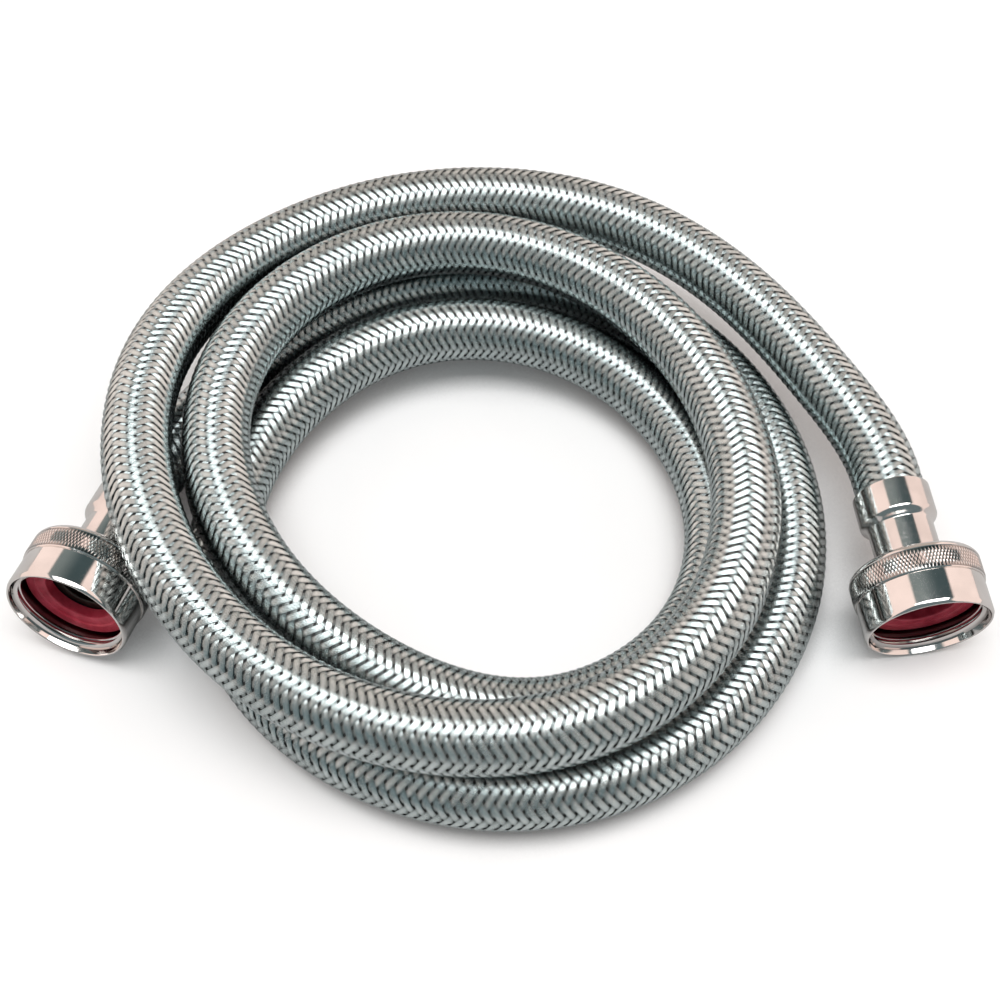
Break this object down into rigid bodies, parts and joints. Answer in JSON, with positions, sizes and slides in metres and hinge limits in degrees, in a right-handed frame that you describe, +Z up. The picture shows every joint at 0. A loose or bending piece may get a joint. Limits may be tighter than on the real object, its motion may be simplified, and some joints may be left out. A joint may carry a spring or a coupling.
{
  "type": "braided supply hose",
  "caption": "Flexible water supply hose with a woven steel sleeve, coiled flat, with a knurled coupling nut and sealing washer on each end.",
  "frame": {"origin": "middle of the coiled hose's outline on the surface it lies on", "axes": "+Z up from that surface, +X from the left fitting to the right one as pictured, +Y away from the two nuts' mouths"},
  "size_m": [0.2246, 0.1807, 0.0403],
  "materials": {
    "woven_steel": "fine bright wires woven in flat bands",
    "tube_rubber": "plain black",
    "nut_plating": "bright nickel plate",
    "sleeve_steel": "polished",
    "stem_metal": "dull nickel plate",
    "washer_rubber": "satin red"
  },
  "bodies": {
    "hose": {"braid_sleeve": "woven_steel", "inner_tube": "tube_rubber", "right_stem": "stem_metal", "right_sleeve": "sleeve_steel", "left_stem": "stem_metal", "left_sleeve": "sleeve_steel"},
    "right_coupling": {"right_nut": "nut_plating", "right_washer": "washer_rubber"},
    "left_coupling": {"left_nut": "nut_plating", "left_washer": "washer_rubber"}
  },
  "joints": [
    {"name": "right_nut_turn", "type": "hinge", "parent": "hose", "child": "right_coupling", "pos_m": [0.09789, -0.04536, 0.0146], "axis": [0.1289, -0.9879, -0.0859], "continuous": true},
    {"name": "left_nut_turn", "type": "hinge", "parent": "hose", "child": "left_coupling", "pos_m": [-0.09847, -0.04331, 0.01669], "axis": [-0.2929, -0.9501, 0.1072], "continuous": true}
  ]
}
